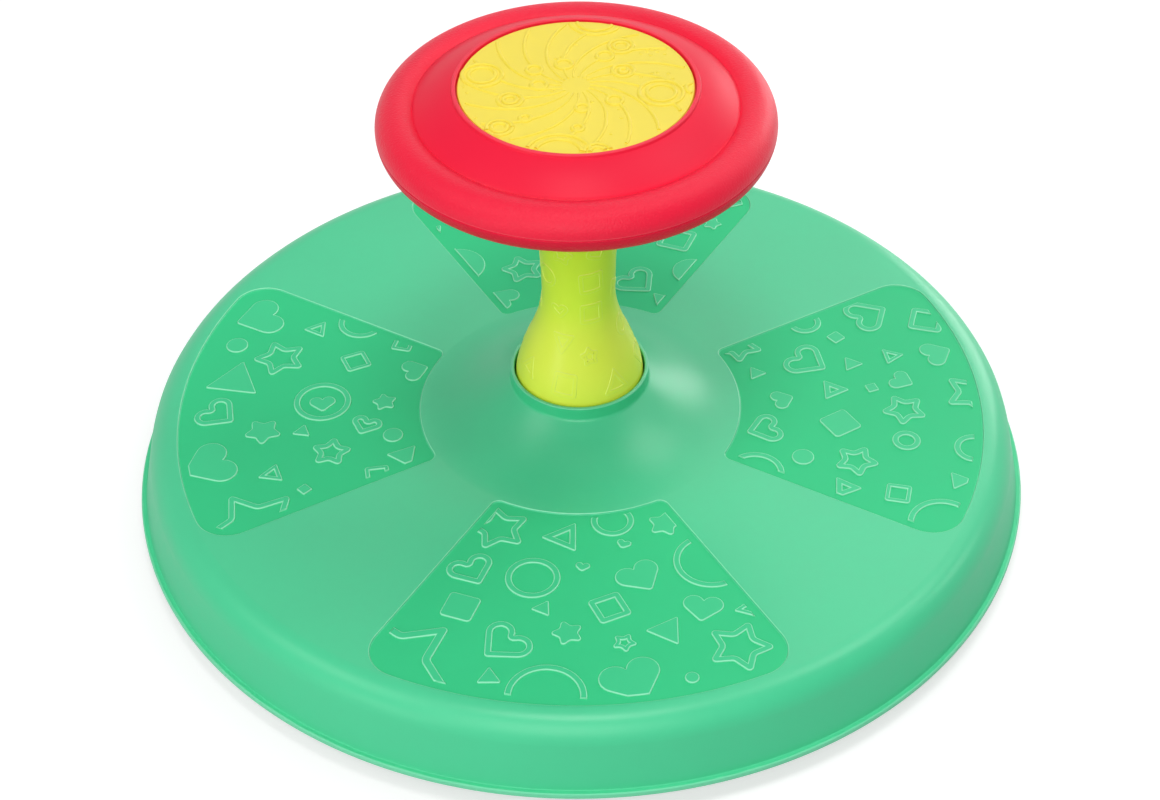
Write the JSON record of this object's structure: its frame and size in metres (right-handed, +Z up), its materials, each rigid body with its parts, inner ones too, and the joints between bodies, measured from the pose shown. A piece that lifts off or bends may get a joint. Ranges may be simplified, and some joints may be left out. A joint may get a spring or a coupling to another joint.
{
  "type": "toddler spinning seat",
  "caption": "Low round plastic seat that turns on a ball ring about a fixed post, with a hand wheel on top that a seated toddler pulls on to spin.",
  "frame": {"origin": "on the floor under the turning axis", "axes": "+Z up along the turning axis; -Y towards the viewer of the picture, +X to the right"},
  "size_m": [0.51, 0.51, 0.272],
  "materials": {
    "seat_green": "satin moulded plastic, mint green",
    "base_green": "matt moulded plastic, darker green",
    "post_lime": "satin blow moulded plastic, lime",
    "wheel_red": "fine grained moulded plastic, red",
    "disc_yellow": "satin moulded plastic, yellow",
    "slide_plastic": "natural acetal",
    "steel": "zinc plated steel",
    "foot_rubber": "dark rubber"
  },
  "bodies": {
    "base": {"floor_base": "base_green", "lower_race": "steel", "slip_washer": "slide_plastic", "post": "post_lime", "wheel_bottom_shell": "wheel_red", "wheel_top_shell": "wheel_red", "wheel_disc": "disc_yellow", "wheel_screws": "steel", "tie_bolt": "steel", "bolt_washer": "steel", "nut_washer": "steel", "lock_nut": "steel", "foot_pad_1": "foot_rubber", "foot_pad_2": "foot_rubber", "foot_pad_3": "foot_rubber", "foot_pad_4": "foot_rubber", "foot_pad_5": "foot_rubber", "foot_pad_6": "foot_rubber"},
    "seat": {"seat_dish": "seat_green", "upper_race": "steel", "hub_bush": "slide_plastic"},
    "cage": {"ball_cage": "slide_plastic", "bearing_ball_1": "steel", "bearing_ball_2": "steel", "bearing_ball_3": "steel", "bearing_ball_4": "steel", "bearing_ball_5": "steel", "bearing_ball_6": "steel", "bearing_ball_7": "steel", "bearing_ball_8": "steel", "bearing_ball_9": "steel", "bearing_ball_10": "steel", "bearing_ball_11": "steel", "bearing_ball_12": "steel"}
  },
  "joints": [
    {"name": "seat_spin", "type": "hinge", "parent": "base", "child": "seat", "pos_m": [0, 0, 0.0545], "axis": [0, 0, 1], "continuous": true},
    {"name": "cage_spin", "type": "hinge", "parent": "base", "child": "cage", "pos_m": [0, 0, 0.0301], "axis": [0, 0, 1], "continuous": true}
  ],
  "couplings": [
    {"joint": "cage_spin", "follows": "seat_spin", "ratio": 0.5}
  ]
}
